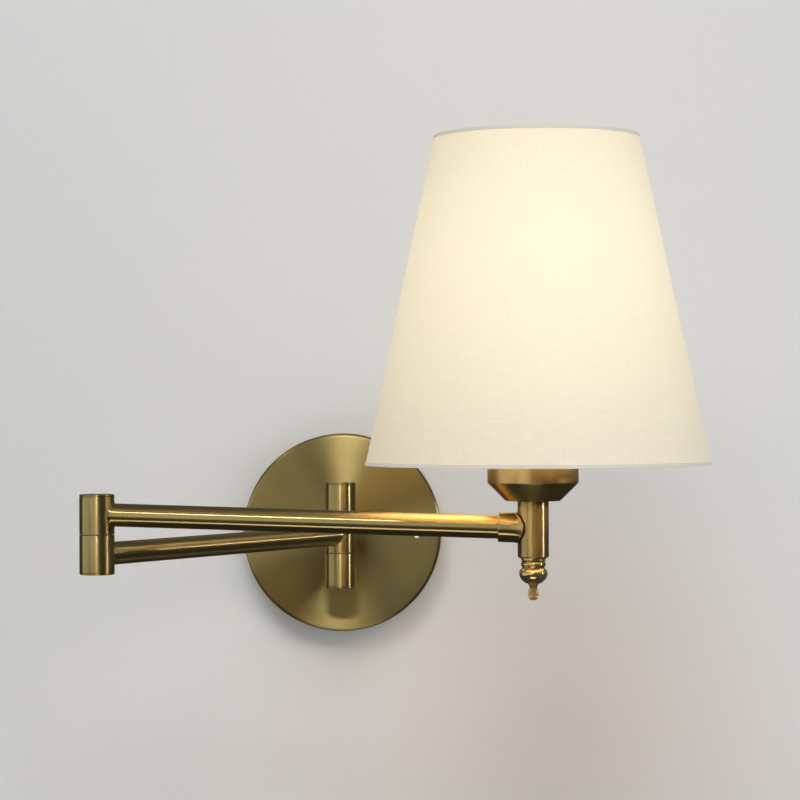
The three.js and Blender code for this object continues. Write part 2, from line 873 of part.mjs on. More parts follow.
const shadeFrame = new THREE.Group();
shadeFrame.position.x = shade.offset;
head.add(shadeFrame);
shadeFrame.add(
  shadeFabric(),
  rimTape('shade_rim_bottom', shade.bottom, 1),
  rimTape('shade_rim_top', shade.top, -1),
  wireHoop('shade_hoop_bottom', shade.bottom + hoopInset),
  wireHoop('shade_hoop_top', shade.top - hoopInset),
  ...shadeCarrier(),
);

export default group;
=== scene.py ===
"""The finished look of the swing arm wall sconce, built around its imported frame.

Metres, +Z up, the wall at y = 0 and the room at negative y. Sizes below are in millimetres."""

import json
import math

import bmesh
import bpy
from mathutils import Matrix, Vector

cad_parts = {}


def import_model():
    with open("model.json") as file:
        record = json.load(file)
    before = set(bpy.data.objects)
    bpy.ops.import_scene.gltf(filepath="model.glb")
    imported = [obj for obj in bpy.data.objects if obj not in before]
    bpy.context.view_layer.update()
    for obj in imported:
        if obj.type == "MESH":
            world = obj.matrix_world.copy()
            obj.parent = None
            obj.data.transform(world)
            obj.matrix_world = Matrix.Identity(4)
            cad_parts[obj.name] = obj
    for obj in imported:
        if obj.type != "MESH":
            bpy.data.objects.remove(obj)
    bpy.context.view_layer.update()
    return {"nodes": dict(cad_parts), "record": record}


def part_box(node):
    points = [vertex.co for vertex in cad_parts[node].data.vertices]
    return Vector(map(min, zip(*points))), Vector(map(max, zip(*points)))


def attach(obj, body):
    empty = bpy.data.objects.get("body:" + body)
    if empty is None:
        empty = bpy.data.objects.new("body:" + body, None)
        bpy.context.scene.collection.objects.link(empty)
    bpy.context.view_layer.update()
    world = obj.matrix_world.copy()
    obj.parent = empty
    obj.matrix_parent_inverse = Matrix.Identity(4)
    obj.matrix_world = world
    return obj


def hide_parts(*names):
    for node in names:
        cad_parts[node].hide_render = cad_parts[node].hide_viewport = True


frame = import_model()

MM = 0.001

# -------------------- sizes

PLATE = {"wall": 1.4, "edge": 2.0, "dish": 0.25, "screw_hole": 2.3, "stub_clear": 0.3}
SCREW = {"head": 4.0, "height": 2.4, "brim": 0.9, "shank": 1.9, "tip": 1.3, "slot": 0.9, "slot_depth": 1.1}
SCREW_LEAN = {"left": 20, "right": -35}  # degrees
BARREL = {"chamber": 7.3, "floor": 3.0, "bore": 4.2, "ease": 0.22}
CAP = {"plug": 7.1, "height": 1.0, "dome": 0.1, "edge": 0.45, "ease": 0.12}
STUB = {"radius": 5.0, "bore": 3.0, "shoulder": 8.0, "shoulder_height": 3.0, "chamfer": 1.0, "fillet": 0.5,
        "last_ring": 11}
TUBE = {"radius": 6.0, "bore": 5.0, "flare": 0.35, "braze": 0.9}
COLLAR = {"radius": 7.7, "bore": 6.2, "length": 17.8, "saddle": 10.9}
COLLAR_MOUTH = ((0, -0.45), (0.12, -0.2), (0.4, 0))  # distance along, rise from the collar's radius
COLLAR_BEAD = ((-1.2, 0), (-0.95, 0.28), (-0.6, 0.4), (-0.25, 0.3), (0, 0))
STEM = {"chamfer": 0.5, "stud_hole": 2.5, "stud_depth": 8.4, "wire_hole": 4.2, "nipple_depth": 10.7}
FINIAL = {"ball": 7.3, "ball_depth": 7.7, "ball_below": 6.0, "ball_above": 4.2, "neck": 2.35, "stud": 2.3}
DROP = {"radius": 3.15, "height": 6.2, "starts": 7, "knurl": 1.0, "twist": 2.6, "plain_tip": 0.8}
BEAD = {"radius": 6.0, "swell": 0.4, "half": 0.9, "depth": 3.1}
UNDER_BEAD = ((5.9, 4.6), (6.0, 4.3))  # radius, depth below the stem
OVER_BEAD = ((5.9, 2.0), (6.1, 1.2), (5.9, 0.9), (6.5, 0.5), (6.5, 0))
CUP = {"foot": 14.4, "slope": 9.3, "wall": 1.1}
BASE = {"foot": 12, "body": 18.5, "slope": 8, "mouth": 9, "mouth_depth": 4, "hole_depth": 7}
SKIRT = {"bore": 14.4, "flange": 25.5, "flange_height": 1.9, "wall": 19.0, "lip": 18.9}
SKIRT_THREAD = {"radius": 19.4, "pitch": 2.4, "depth": 0.5, "above_flange": 1, "below_top": 1.5}
RING_NUT = {"bore": 19.6, "radius": 26.4, "top": 25, "band": 3, "ribs": 30, "rib": 0.35}
BULB_CAP = {"contact": 4.4, "insulator": 5, "insulator_height": 1.6, "shoulder": 12.2, "shoulder_height": 4}
BULB_THREAD = {"radius": 13.2, "pitch": 3.6, "depth": 0.9, "above_foot": 5, "below_top": 3}
HOUSING = ((0, 0), (14, 0), (15, 3), (17.6, 11))  # radius, height above its foot
GLOBE = {"wall": 1.2, "waist": 24, "waist_turn": 0.82, "steps": 24}
FABRIC = {"thickness": 0.9, "lap": 0.3, "seam": 5.0, "blend": 0.4, "levels": 26}
TAPE = {"clear": 0.06, "thick": 0.28, "leg": 1.9, "bridge": 0.45, "lap": 0.22, "lap_length": 7, "blend": 0.4}
CARRIER = {"bore": 22.2, "clear": 0.3, "flat": 14, "bend": 6}
WIRE = 1.1  # radius of the hoops and carrier arms
JOINT_GAP = 0.2
NIPPLE_HOLE = 5.2
FINE = 128  # segments round a turned piece


# -------------------- places, read from the frame

def box_mm(node):
    """A node's lowest and highest corners, in millimetres."""
    low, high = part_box(node)
    return low / MM, high / MM


def middle(node):
    """The centre of a node's box, in millimetres."""
    low, high = box_mm(node)
    return (low + high) / 2


post_axis = middle("middle_barrel")
elbow_axis = middle("elbow_barrel_lower")
head_axis = middle("head_stem")
shade_axis = middle("shade_fabric")
barrel_radius = (box_mm("middle_barrel")[1].x - box_mm("middle_barrel")[0].x) / 2
stem_radius = (box_mm("head_stem")[1].x - box_mm("head_stem")[0].x) / 2


# -------------------- materials

class Surface:
    """A node material: a Principled shader and short ways to add and join nodes."""

    def __init__(self, name):
        self.material = bpy.data.materials.new(name)
        self.material.use_nodes = True
        self.tree = self.material.node_tree
        self.shader = self.tree.nodes["Principled BSDF"]
        self.output = self.tree.nodes["Material Output"]

    def feed(self, socket, value):
        """Gives a socket a value or another node's output."""
        if isinstance(value, bpy.types.NodeSocket):
            self.tree.links.new(value, socket)
        elif socket.type == "RGBA":
            socket.default_value = (*value, 1.0)
        else:
            socket.default_value = value

    def add(self, kind, inputs=(), **settings):
        node = self.tree.nodes.new("ShaderNode" + kind)
        for key, value in settings.items():
            setattr(node, key, value)
        for socket, value in dict(inputs).items():
            self.feed(node.inputs[socket], value)
        return node

    def set(self, **values):
        """Feeds the shader's sockets, named with _ for a space."""
        for key, value in values.items():
            self.feed(self.shader.inputs[key.replace("_", " ")], value)

    def along(self, scale):
        """Texture coordinates that follow the surface: metres along the profile and round it, scaled."""
        flow = self.add("UVMap", uv_map="flow")
        return self.add("Mapping", {"Vector": flow.outputs["UV"], "Scale": scale}).outputs[0]

    def placed(self, scale=(1, 1, 1)):
        """Texture coordinates in the object's own space, in metres, scaled."""
        place = self.add("TexCoord")
        return self.add("Mapping", {"Vector": place.outputs["Object"], "Scale": scale}).outputs[0]

    def noise(self, vector, scale, detail=2.0, roughness=0.5):
        values = {"Vector": vector, "Scale": scale, "Detail": detail, "Roughness": roughness}
        return self.add("TexNoise", values).outputs["Fac"]

    def spread(self, value, low, high, start=0.0, end=1.0):
        """value from start..end to low..high."""
        values = {"Value": value, "From Min": start, "From Max": end, "To Min": low, "To Max": high}
        return self.add("MapRange", values).outputs["Result"]

    def mix(self, factor, first, second, blend="MIX"):
        node = self.add("Mix", data_type="RGBA", blend_type=blend)
        for number, value in ((0, factor), (6, first), (7, second)):
            self.feed(node.inputs[number], value)
        return node.outputs[2]

    def maths(self, operation, first, second=0.0):
        return self.add("Math", {0: first, 1: second}, operation=operation).outputs[0]

    def bump(self, height, strength, distance):
        values = {"Height": height, "Strength": strength, "Distance": distance}
        self.set(Normal=self.add("Bump", values).outputs[0])


def brushed_metal(name, tones, roughness, anisotropy, groove, contrast=0.01, grain=0.01, metal=1.0,
                  lacquer=0.0):
    """Brushed round its axis. tones are its dark and light colours, groove is the spacing of the brush
    lines in millimetres, contrast is how strongly they show, and lacquer is the weight of a clear coat."""
    s = Surface(name)
    lines = s.noise(s.along((1 / (groove * MM), 6, 1)), 1.0, 3.0, 0.6)
    broad = s.noise(s.along((1 / (6 * groove * MM), 2, 1)), 1.0, 2.0)
    patina = s.noise(s.placed(), 38.0, 4.0, 0.55)
    tone = s.mix(s.spread(patina, 0.15, 0.85), *tones)
    shade = s.spread(lines, 1 - contrast, 1 + contrast, 0.25, 0.75)
    s.set(Base_Color=s.mix(1.0, tone, shade, "MULTIPLY"), Metallic=metal, Anisotropic=anisotropy)
    s.set(Coat_Weight=lacquer, Coat_Roughness=0.14)
    mottled = s.maths("MULTIPLY", s.maths("ADD", broad, patina), 0.5)
    s.set(Roughness=s.spread(mottled, roughness - grain, roughness + grain, 0.3, 0.7))
    s.set(Tangent=s.add("Tangent", direction_type="UV_MAP", uv_map="flow").outputs[0])
    return s.material


def plain_metal(name, dark, light, roughness):
    """Plated steel with a faint cloudy finish and fine scratches, for pieces without a brushed grain."""
    s = Surface(name)
    cloud = s.noise(s.placed(), 160.0, 5.0, 0.6)
    scratch = s.noise(s.placed((1, 1, 14)), 420.0, 3.0, 0.6)
    s.set(Base_Color=s.mix(s.spread(cloud, 0, 1, 0.3, 0.7), dark, light), Metallic=1.0)
    s.set(Roughness=s.spread(scratch, roughness - 0.07, roughness + 0.07, 0.3, 0.7))
    s.bump(scratch, 0.15, 0.02 * MM)
    return s.material


def moulded(name, dark, light, roughness, coat=0.0):
    """Moulded plastic with the fine orange peel of its mould."""
    s = Surface(name)
    peel = s.noise(s.placed(), 900.0, 2.0)
    cloud = s.noise(s.placed(), 45.0, 3.0)
    s.set(Base_Color=s.mix(cloud, dark, light), Coat_Weight=coat, Coat_Roughness=0.25)
    s.set(Roughness=s.spread(peel, roughness - 0.05, roughness + 0.05, 0.35, 0.65))
    s.bump(peel, 0.2, 0.03 * MM)
    return s.material


def weave(s, pitch):
    """Height of a plain weave with uneven threads, from 0 to 1; pitch in millimetres."""
    turns = 2 * math.pi / (pitch * MM)
    drift = s.noise(s.along((260, 260, 1)), 1.0, 2.0)
    flow = s.add("SeparateXYZ", {0: s.along((turns, turns, 1))})
    wobble = s.maths("MULTIPLY", drift, 5.0)
    across = s.maths("SINE", s.maths("ADD", flow.outputs[0], wobble))
    up = s.maths("SINE", s.maths("ADD", flow.outputs[1], wobble))
    height = s.spread(s.maths("MULTIPLY", across, up), 0, 1, -1, 1)
    slub_across = s.noise(s.along((2600, 90, 1)), 1.0, 2.0)
    slub_up = s.noise(s.along((90, 2600, 1)), 1.0, 2.0)
    slubs = s.maths("MULTIPLY", s.maths("ADD", slub_across, slub_up), 0.5)
    return height, slubs


def lit_linen():
    """Off-white linen over a liner, lit from inside: brightest where the bulb is nearest."""
    s = Surface("linen_shade")
    height, slubs = weave(s, 0.62)
    cloth = s.mix(s.spread(slubs, 0, 1, 0.32, 0.68), (0.66, 0.61, 0.53), (0.74, 0.70, 0.62))
    cloth = s.mix(s.spread(height, 0.0, 0.05), cloth, (0.50, 0.45, 0.37))
    low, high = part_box("shade_fabric")
    place = s.add("SeparateXYZ", {0: s.placed()})
    share = s.spread(place.outputs[2], 0, 1, low.z, high.z)
    ramp = s.add("ValToRGB", {"Fac": share})
    ramp.color_ramp.interpolation = "B_SPLINE"
    stops = [
        (0.00, (0.22, 0.165, 0.085)),
        (0.22, (0.33, 0.255, 0.125)),
        (0.55, (0.48, 0.395, 0.20)),
        (0.80, (0.44, 0.365, 0.185)),
        (1.00, (0.35, 0.27, 0.125)),
    ]
    points = ramp.color_ramp.elements
    while len(points) < len(stops):
        points.new(0.5)
    for point, (position, colour) in zip(points, stops):
        point.position = position
        point.color = (*colour, 1.0)
    thread = s.mix(s.spread(slubs, 0, 1, 0.3, 0.7), (0.955, 0.95, 0.94), (1.04, 1.04, 1.04))
    # painted glow: this emission, brightest at the bulb's height, stands in for the bulb's light through the
    # cloth
    glow = s.mix(1.0, ramp.outputs[0], thread, "MULTIPLY")
    s.set(Base_Color=cloth, Emission_Color=glow, Emission_Strength=1.0, Sheen_Weight=0.15)
    s.set(Roughness=s.spread(slubs, 0.84, 0.96))
    s.bump(s.maths("ADD", height, s.maths("MULTIPLY", slubs, 1.6)), 0.2, 0.05 * MM)
    s.material.cycles.emission_sampling = "NONE"
    return s.material


def bound_edge():
    """The woven tape round the shade's edges, a little greyer than the linen, with a faint painted glow."""
    s = Surface("rim_tape")
    height, slubs = weave(s, 0.45)
    cloth = s.mix(s.spread(slubs, 0, 1, 0.3, 0.7), (0.60, 0.58, 0.51), (0.68, 0.66, 0.59))
    s.set(Base_Color=cloth, Roughness=s.spread(height, 0.8, 0.95), Sheen_Weight=0.2)
    # painted glow: a faint warm emission stands in for the bulb's light coming through the tape
    s.set(Emission_Color=s.mix(slubs, (0.09, 0.075, 0.045), (0.12, 0.10, 0.065)), Emission_Strength=1.0)
    s.bump(height, 0.4, 0.08 * MM)
    return s.material


def frosted_glow():
    """The lit frosted globe of the bulb, warmer towards its base."""
    s = Surface("frosted_globe")
    low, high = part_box("bulb_globe")
    place = s.add("SeparateXYZ", {0: s.placed()})
    share = s.spread(place.outputs[2], 0, 1, low.z, high.z)
    frost = s.noise(s.placed(), 300.0, 3.0)
    s.set(Base_Color=s.mix(frost, (0.86, 0.84, 0.80), (0.94, 0.93, 0.90)))
    s.set(Emission_Color=s.mix(share, (1.0, 0.62, 0.30), (1.0, 0.80, 0.52)), Emission_Strength=2.6)
    s.set(Roughness=s.spread(frost, 0.4, 0.6))
    return s.material


def make_materials():
    brass = (0.40, 0.295, 0.115), (0.53, 0.41, 0.165)
    spun_brass = (0.32, 0.24, 0.088), (0.42, 0.33, 0.13)
    # painted reflection: lighter tones than the other brass stand in for the bright surroundings the polished
    # finial reflects
    reflection_lightened_brass = (0.50, 0.39, 0.17), (0.62, 0.49, 0.24)
    bright_nickel = (0.66, 0.64, 0.60), (0.78, 0.76, 0.72)
    return {
        "spun": brushed_metal("brass_spun", spun_brass, 0.37, 0.93, 0.35, 0.035, 0.02),
        "turned": brushed_metal("brass_turned", brass, 0.35, 0.97, 0.16, lacquer=0.14),
        "drawn": brushed_metal("brass_drawn", brass, 0.31, 1.0, 0.3, lacquer=0.14),
        "cup": brushed_metal("brass_cup", brass, 0.33, 0.45, 0.2, 0.015),
        "polished": brushed_metal("brass_polished", reflection_lightened_brass, 0.16, 0.2, 0.3, 0.02, metal=0.92),
        "nickel": brushed_metal("nickel_turned", bright_nickel, 0.24, 0.4, 0.2, metal=0.8),
        "zinc": plain_metal("zinc_steel", (0.42, 0.43, 0.44), (0.56, 0.57, 0.58), 0.38),
        "earth": plain_metal("earth_brass", (0.52, 0.38, 0.16), (0.66, 0.50, 0.24), 0.26),
        "nylon": moulded("nylon_washer", (0.74, 0.71, 0.64), (0.82, 0.80, 0.74), 0.55),
        "black": moulded("black_plastic", (0.012, 0.012, 0.012), (0.022, 0.021, 0.020), 0.42, 0.1),
        "white": moulded("white_plastic", (0.74, 0.72, 0.68), (0.82, 0.81, 0.78), 0.42, 0.15),
        "jacket": moulded("lead_jacket", (0.13, 0.095, 0.045), (0.19, 0.145, 0.075), 0.5),
        "wire": moulded("white_wire", (0.66, 0.65, 0.61), (0.76, 0.75, 0.72), 0.38, 0.4),
        "linen": lit_linen(),
        "tape": bound_edge(),
        "globe": frosted_glow(),
    }


look = make_materials()


# -------------------- mesh building

def piece_from(name, rings, material, closed_profile, smooth_angle=32.0):
    """A mesh from rings of points, each ring one closed loop of equal count, or one point at a pole.
    rings go along the profile; closed_profile joins the last ring to the first."""
    mesh = bpy.data.meshes.new(name)
    build = bmesh.new()
    flow = build.loops.layers.uv.new("flow")
    made = [[build.verts.new(point) for point in ring] for ring in rings]
    count = max(len(ring) for ring in rings)
    starts = [0.0]
    pairs = list(zip(rings, rings[1:] + rings[:1] if closed_profile else rings[1:]))
    for first, second in pairs:
        starts.append(starts[-1] + (Vector(second[0]) - Vector(first[0])).length)
    order = made + made[:1] if closed_profile else made
    for index, (first, second) in enumerate(zip(order, order[1:])):
        girth = max(ring_length(first), ring_length(second))
        for step in range(count):
            here, there = step, (step + 1) % count
            corners = [(first, here, 0), (first, there, 0), (second, there, 1), (second, here, 1)]
            verts, coords = [], []
            for ring, place, side in corners:
                vert = ring[place % len(ring)]
                turn = step + (1 if place != step or count == 1 else 0)
                if vert not in verts:
                    verts.append(vert)
                    coords.append((starts[index + side], girth * turn / count))
            if len(verts) < 3:
                continue
            face = build.faces.new(verts)
            face.smooth = True
            for loop, coord in zip(face.loops, coords):
                loop[flow].uv = coord
    bmesh.ops.recalc_face_normals(build, faces=build.faces)
    build.to_mesh(mesh)
    build.free()
    mesh.set_sharp_from_angle(angle=math.radians(smooth_angle))
    mesh.materials.append(material)
    made_object = bpy.data.objects.new(name, mesh)
    bpy.context.scene.collection.objects.link(made_object)
    return made_object


def ring_length(ring):
    """Distance round a ring of bmesh vertices."""
    return sum((a.co - b.co).length for a, b in zip(ring, ring[1:] + ring[:1]))


def eased(outline, size, closed):
    """The outline with its corners rounded by arcs of about that size. Corners on the axis stay."""
    result = []
    count, steps = len(outline), 3
    for index, (radius, height) in enumerate(outline):
        ends = not closed and index in (0, count - 1)
        if radius == 0 or ends:
            result.append((radius, height))
            continue
        corner = Vector((radius, height))
        before = Vector(outline[index - 1]) - corner
        after = Vector(outline[(index + 1) % count]) - corner
        straight = before.angle(after) > math.radians(155)
        reach = min(size, 0.45 * before.length, 0.45 * after.length)
        if straight or reach < 1e-4:
            result.append((radius, height))
            continue
        start, end = corner + before.normalized() * reach, corner + after.normalized() * reach
        for step in range(steps + 1):
            t = step / steps
            point = start * (1 - t) ** 2 + corner * 2 * t * (1 - t) + end * t * t
            result.append((point.x, point.y))
    return result


def turned(name, outline, axis, material, towards_room=False, ease=0.2, warp=None, segments=FINE):
    """A turned piece. outline is (radius, height) in millimetres; it starts and ends on the axis or
    closes on itself. Heights run up, or out from the wall where towards_room is set."""
    closed = outline[0][0] != 0
    points = eased(outline, ease, closed) if ease else outline
    rings = []
    for radius, height in points:
        ring = []
        for step in range(segments if radius else 1):
            angle = 2 * math.pi * step / segments
            grown = warp(radius, height, angle) if warp else (radius, height)
            across, other = grown[0] * math.cos(angle), grown[0] * math.sin(angle)
            if towards_room:
                ring.append(Vector((axis.x + across, -grown[1], axis.z + other)) * MM)
            else:
                ring.append(Vector((axis.x + across, axis.y + other, grown[1])) * MM)
        rings.append(ring)
    return piece_from(name, rings, material, closed)


def cope(centre, radius, point, along):
    """How far along a direction a point lies from the upright cylinder of that radius round centre."""
    offset = Vector((point.x - centre.x, point.y - centre.y))
    heading = Vector((along.x, along.y))
    a = heading.length_squared
    b = offset.dot(heading)
    c = offset.length_squared - radius * radius
    return (-b + math.sqrt(b * b - a * c)) / a


def sleeve(name, start, end, profile, bore, start_cope, end_cope, material, end_centre=None):
    """A tube from one axis point to another. profile is (share of the length, shift along it, outside
    radius) for each ring. Each end is flat, or coped round an upright cylinder of the radius given."""
    segments = 72
    along = (end - start).normalized()
    side = along.cross(Vector((0, 0, 1))).normalized()
    up = side.cross(along)
    reach = (end - start).length

    def ring_at(radius, share, shift):
        ring = []
        for step in range(segments):
            angle = 2 * math.pi * step / segments
            offset = radius * (math.cos(angle) * side + math.sin(angle) * up)
            low = cope(start, start_cope, start + offset, along) if start_cope else 0.0
            high = reach - (cope(end_centre or end, end_cope, end + offset, -along) if end_cope else 0.0)
            ring.append((start + offset + along * (low + (high - low) * share + shift)) * MM)
        return ring

    stations = (*profile, (1, 0, bore), (0, 0, bore))
    rings = [ring_at(radius, share, shift) for share, shift, radius in stations]
    return piece_from(name, rings, material, True)


def bent_wire(name, corners, radius, bend, material):
    """A round wire along straight runs joined by smooth bends."""
    sides, steps = 14, 8
    points = [corners[0]]
    for before, corner, after in zip(corners, corners[1:], corners[2:]):
        start = corner + (before - corner).normalized() * bend
        end = corner + (after - corner).normalized() * bend
        for step in range(steps + 1):
            t = step / steps
            points.append(start * (1 - t) ** 2 + corner * 2 * t * (1 - t) + end * t * t)
    points.append(corners[-1])
    rings = [[points[0] * MM]]
    across = Vector((0, 0, 1)).cross(points[1] - points[0]).normalized()
    for index, point in enumerate(points):
        ahead = points[min(index + 1, len(points) - 1)] - points[max(index - 1, 0)]
        other = ahead.cross(across).normalized()
        circle = []
        for step in range(sides):
            angle = 2 * math.pi * step / sides
            circle.append((point + radius * (math.cos(angle) * across + math.sin(angle) * other)) * MM)
        rings.append(circle)
    rings.append([points[-1] * MM])
    return piece_from(name, rings, material, False, 50.0)


def cut(piece, cutters):
    """Takes the cutters' shapes out of a piece, and removes them."""
    for cutter in cutters:
        modifier = piece.modifiers.new("cut", "BOOLEAN")
        modifier.operation = "DIFFERENCE"
        modifier.solver = "EXACT"
        modifier.object = cutter
    result = bpy.data.meshes.new_from_object(piece.evaluated_get(bpy.context.evaluated_depsgraph_get()))
    piece.modifiers.clear()
    piece.data = result
    for cutter in cutters:
        bpy.data.objects.remove(cutter)
    return piece


def fit(piece, node):
    """The piece stands for a CAD node, which it hides, and rides on its body."""
    body = next(name for name, nodes in frame["record"]["behaviour"]["bodies"].items() if node in nodes)
    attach(piece, body)
    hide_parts(node)
    return piece


def add_turned(node, ending, outline, axis, finish, **settings):
    """A turned piece that stands for a node and is named after it."""
    return fit(turned(node + "_" + ending, outline, axis, look[finish], **settings), node)


# -------------------- backplate and its fittings

def face_hole(name, radius, face, centre):
    """A plain disc through the plate's face, for cutting a hole."""
    low, high = face - 3, face + 1
    outline = [(0, low), (radius, low), (radius, high), (0, high)]
    return turned(name, outline, centre, look["zinc"], True, ease=0, segments=48)


def backplate():
    """A spun cup, open at the wall, with a rounded front edge and a face that is a touch dished."""
    low, high = box_mm("backplate")
    radius, depth = (high.x - low.x) / 2, -low.y
    wall, edge, dish = PLATE["wall"], PLATE["edge"], PLATE["dish"]
    inner = radius - wall
    outline = [(0, depth - wall), (inner - edge, depth - wall), (inner, depth - wall - edge), (inner, 0)]
    outline += [(radius, 0), (radius, depth * 0.5)]
    steps = 8
    for step in range(steps + 1):
        angle = math.pi / 2 * step / steps
        outline.append((radius - edge + edge * math.cos(angle), depth - edge + edge * math.sin(angle)))
    for share in (0.85, 0.7, 0.5, 0.3, 0.15):
        outline.append(((radius - edge) * share, depth - dish * (1 - share * share)))
    outline.append((0, depth - dish))
    piece = turned("backplate_spun", outline, (low + high) / 2, look["spun"], True, ease=0, segments=180)
    holes = []
    for side in ("left", "right"):
        holes.append(face_hole("hole_" + side, PLATE["screw_hole"], depth, middle("cover_screw_" + side)))
    for side in ("upper", "lower"):
        size = STUB["radius"] + PLATE["stub_clear"]
        holes.append(face_hole("hole_" + side, size, depth, middle("hinge_stub_" + side)))
    fit(cut(piece, holes), "backplate")


def cover_screw(side):
    """A domed screw with a straight slot."""
    node = "cover_screw_" + side
    low, high = box_mm(node)
    centre, top, tip = (low + high) / 2, -low.y, -high.y
    head, height, brim, shank = (SCREW[key] for key in ("head", "height", "brim", "shank"))
    seat = top - height
    outline = [(0, tip), (SCREW["tip"], tip), (shank, tip + 1), (shank, seat), (head, seat)]
    outline.append((head, seat + brim))
    for share in (0.9, 0.74, 0.52, 0.27):
        outline.append((head * share, seat + brim + (height - brim) * math.sqrt(1 - share * share)))
    outline.append((0, top))
    piece = turned(node + "_turned", outline, centre, look["nickel"], True, ease=0.1, segments=64)
    fit(cut(piece, [screw_slot(side, centre, top)]), node)


def screw_slot(side, centre, top):
    """The block that cuts a screw's slot, at the angle where the screw came to rest."""
    half, reach = SCREW["slot"] / 2, SCREW["head"] + 1
    lean = math.radians(SCREW_LEAN[side])
    rings = []
    for depth in (top - SCREW["slot_depth"], top + 1):
        ring = []
        for a, b in ((-half, -reach), (half, -reach), (half, reach), (-half, reach)):
            across, up = a * math.cos(lean) - b * math.sin(lean), a * math.sin(lean) + b * math.cos(lean)
            ring.append((Vector((centre.x, -depth, centre.z)) + Vector((across, 0, up))) * MM)
        rings.append(ring)
    ends = [[sum(ring, Vector()) / 4] for ring in rings]
    return piece_from("slot_" + side, [ends[0], *rings, ends[1]], look["nickel"], False)


def hinge_stub(side):
    """The hollow stub that holds an end barrel, with its shoulder on the plate."""
    node = "hinge_stub_" + side
    low, high = box_mm(node)
    radius, bore, wide = STUB["radius"], STUB["bore"], STUB["shoulder"]
    chamfer, fillet = STUB["chamfer"], STUB["fillet"]
    inside, out = -high.y, -post_axis.y
    shoulder = -box_mm("backplate")[0].y + JOINT_GAP
    top = shoulder + STUB["shoulder_height"]
    outline = [(bore, inside), (radius, inside), (radius, shoulder), (wide, shoulder), (wide, top - chamfer)]
    outline += [(wide - chamfer, top), (radius + fillet, top), (radius, top + fillet)]
    outline += [(radius, out - STUB["last_ring"]), (radius, out), (bore, out)]

    def coped(distance, height, angle):
        if height < out:
            return distance, height
        across = distance * math.cos(angle)
        reach = barrel_radius + JOINT_GAP / 4
        return distance, out - math.sqrt(reach * reach - across * across)

    add_turned(node, "turned", outline, (low + high) / 2, "turned", towards_room=True, ease=0, warp=coped,
               segments=96)


# -------------------- hinges

def barrel(node, mouth_up):
    """An end or middle barrel: a cup with a bored floor, whose mouth is closed by a cap."""
    low, high = box_mm(node)
    radius = (high.x - low.x) / 2
    foot, mouth = (low.z, high.z) if mouth_up else (high.z, low.z)
    floor = foot + (BARREL["floor"] if mouth_up else -BARREL["floor"])
    outline = [(radius, foot), (radius, mouth), (BARREL["chamber"], mouth), (BARREL["chamber"], floor)]
    outline += [(BARREL["bore"], floor), (BARREL["bore"], foot)]
    add_turned(node, "turned", outline, (low + high) / 2, "turned", ease=BARREL["ease"])


def end_cap(node, up):
    """A thin cap with an eased edge and a slight dome."""
    low, high = box_mm(node)
    radius = (high.x - low.x) / 2
    outside, inside = (high.z, low.z) if up else (low.z, high.z)
    sense = 1 if up else -1
    dome, edge = CAP["dome"], CAP["edge"]
    seat = outside - sense * (CAP["height"] + dome)
    outline = [(0, inside), (CAP["plug"], inside), (CAP["plug"], seat), (radius, seat)]
    outline += [(radius, outside - sense * (dome + edge)), (radius - edge, outside - sense * dome)]
    outline += [(radius * share, outside - sense * dome * share * share) for share in (0.75, 0.45, 0.2)]
    outline.append((0, outside))
    add_turned(node, "turned", outline, (low + high) / 2, "turned", ease=CAP["ease"])


# -------------------- arms

def arm_line(node, start_axis, end_axis):
    """The centre line of an arm between its two upright axes."""
    vertices = [vertex.co / MM for vertex in frame["nodes"][node].data.vertices]
    flat = Vector((end_axis.x - start_axis.x, end_axis.y - start_axis.y, 0))
    length = flat.length
    flat.normalize()
    shares = []
    for part in (lambda d: d < length * 0.25, lambda d: d > length * 0.75):
        near = [v for v in vertices if part((v - start_axis).dot(flat))]
        middle_z = (max(v.z for v in near) + min(v.z for v in near)) / 2
        distance = sum((v - start_axis).dot(flat) for v in near) / len(near)
        shares.append((distance, middle_z))
    slope = (shares[1][1] - shares[0][1]) / (shares[1][0] - shares[0][0])
    first = shares[0][1] - slope * shares[0][0]
    start = Vector((start_axis.x, start_axis.y, first))
    return start, Vector((end_axis.x, end_axis.y, first + slope * length))


def arm_profile(flare_start, flare_end):
    """Outside of an arm tube: straight, with a small fillet of braze at each joint."""
    radius, braze, steps = TUBE["radius"], TUBE["braze"], 3
    profile = []
    for step in range(steps + 1):
        t = step / steps
        profile.append((0, braze * t, radius + flare_start * (1 - t) ** 2))
    profile += [(share, 0, radius) for share in (0.05, 0.25, 0.5, 0.75, 0.95)]
    for step in range(steps + 1):
        t = 1 - step / steps
        profile.append((1, -braze * t, radius + flare_end * (1 - t) ** 2))
    return profile


def arm_tube(node, start_axis, end_axis, end_radius, flare_end):
    """An arm, coped at both ends. Returns its centre line."""
    start, end = arm_line(node, start_axis, end_axis)
    reach = JOINT_GAP / 4
    piece = sleeve(node + "_drawn", start, end, arm_profile(TUBE["flare"], flare_end), TUBE["bore"],
                   barrel_radius + reach, end_radius + reach, look["drawn"])
    fit(piece, node)
    return start, end


def arm_collar(start, end):
    """The sleeve over the arm's end, coped round the stem, with a bead along the cope."""
    along = (end - start).normalized()
    begin = end - along * COLLAR["length"]
    radius, saddle = COLLAR["radius"], COLLAR["saddle"]
    profile = [(0, shift, radius + rise) for shift, rise in COLLAR_MOUTH]
    profile.append((0.5, 0, radius))
    profile += [(1, shift, radius + rise) for shift, rise in COLLAR_BEAD]
    centre = end + along * (saddle - stem_radius)
    piece = sleeve("arm_collar_turned", begin, end, profile, COLLAR["bore"], None,
                   saddle + JOINT_GAP / 4, look["drawn"], centre)
    fit(piece, "arm_collar")


# -------------------- lamp head

